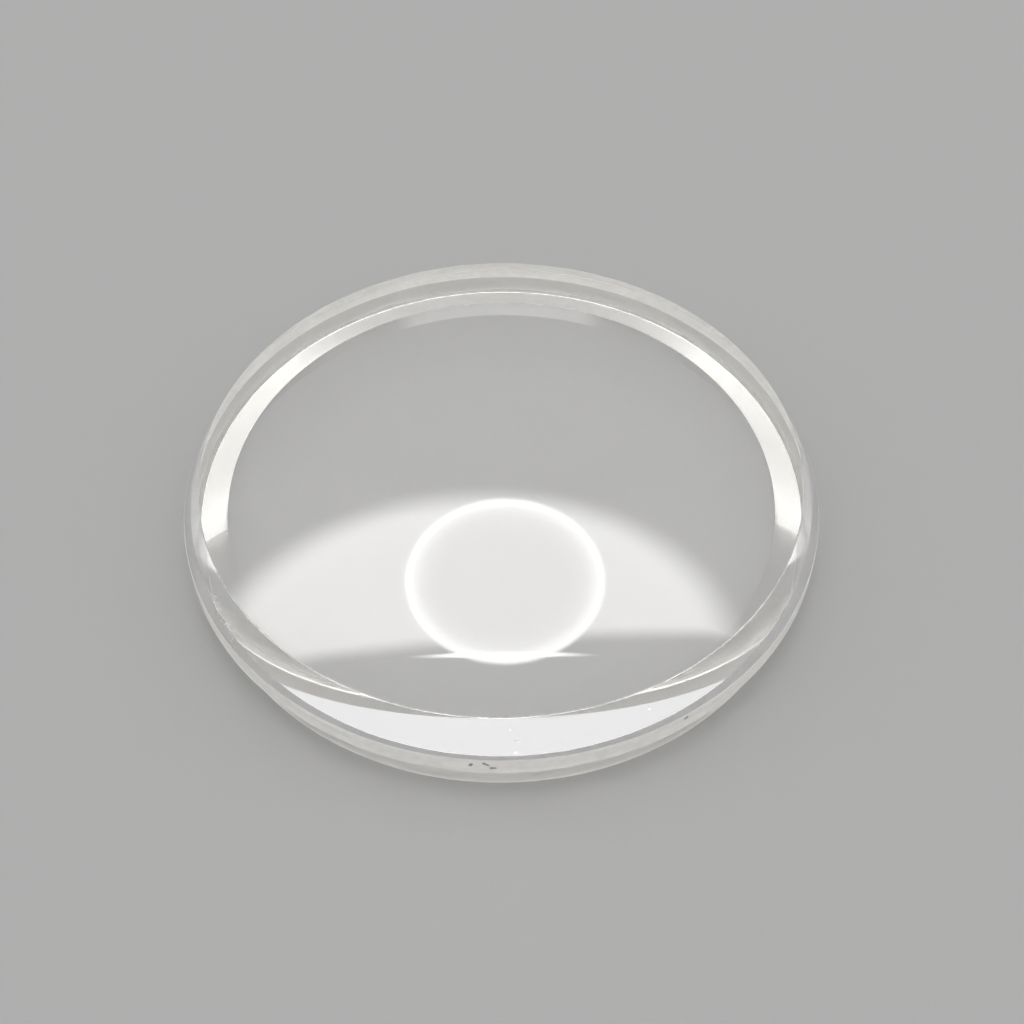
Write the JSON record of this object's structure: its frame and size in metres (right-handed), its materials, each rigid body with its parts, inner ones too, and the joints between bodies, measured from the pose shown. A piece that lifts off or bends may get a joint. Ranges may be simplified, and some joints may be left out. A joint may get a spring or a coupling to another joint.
{
  "type": "watch crystal",
  "caption": "Round domed watch glass with a wide polished bevel, a ground side wall, and a stepped ground underside whose boss presses into the case.",
  "frame": {"origin": "centre of the narrow flat foot underneath, on the plane that the loose glass stands on", "axes": "+Z along the optical axis, out through the dome, away from the dial"},
  "size_m": [0.0315, 0.0314, 0.0054],
  "materials": {
    "glass": "polished faces, finely ground side wall, ledge, boss and foot"
  },
  "bodies": {
    "root": {"crystal": "glass"}
  },
  "joints": []
}
